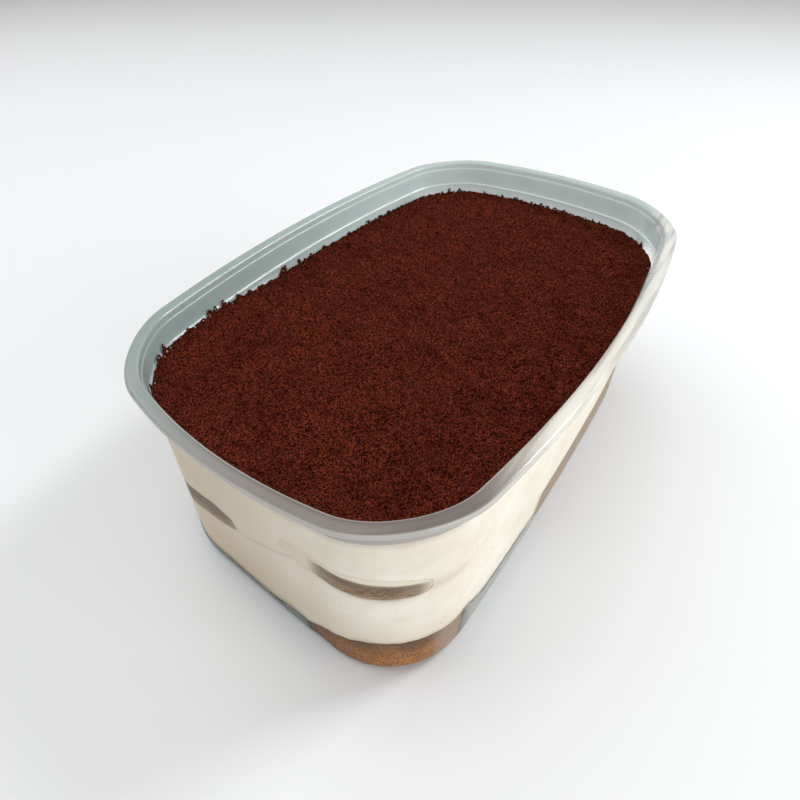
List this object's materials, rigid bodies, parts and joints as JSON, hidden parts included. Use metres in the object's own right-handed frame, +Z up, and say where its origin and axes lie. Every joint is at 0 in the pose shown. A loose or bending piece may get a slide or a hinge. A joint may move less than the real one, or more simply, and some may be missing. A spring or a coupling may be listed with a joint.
{
  "type": "tiramisu in a clear tub",
  "caption": "Layered tiramisu in a clear plastic tub: soaked sponge, cream, ladyfingers side by side, more cream and a level skin of cocoa just below the rim.",
  "frame": {"origin": "centre of the bounding box's underside, on the surface the tub stands on", "axes": "+X along the tub's length, away from the short end where the layers show; +Y across it; +Z up"},
  "size_m": [0.1496, 0.094, 0.0613],
  "materials": {
    "tub": "clear, glossy, faint blue-green tint",
    "sponge_bottom": "coffee-soaked sponge, orange-brown, open crumb",
    "cream_lower": "smooth mascarpone cream",
    "ladyfinger_near": "coffee-soaked biscuit, grey-brown",
    "ladyfinger_far": "coffee-soaked biscuit, grey-brown",
    "cream_upper": "smooth mascarpone cream",
    "cocoa": "loose dark red-brown cocoa powder"
  },
  "bodies": {
    "root": {"tub": "tub", "sponge_bottom": "sponge_bottom", "cream_lower": "cream_lower", "ladyfinger_near": "ladyfinger_near", "ladyfinger_far": "ladyfinger_far", "cream_upper": "cream_upper", "cocoa": "cocoa"}
  },
  "joints": []
}
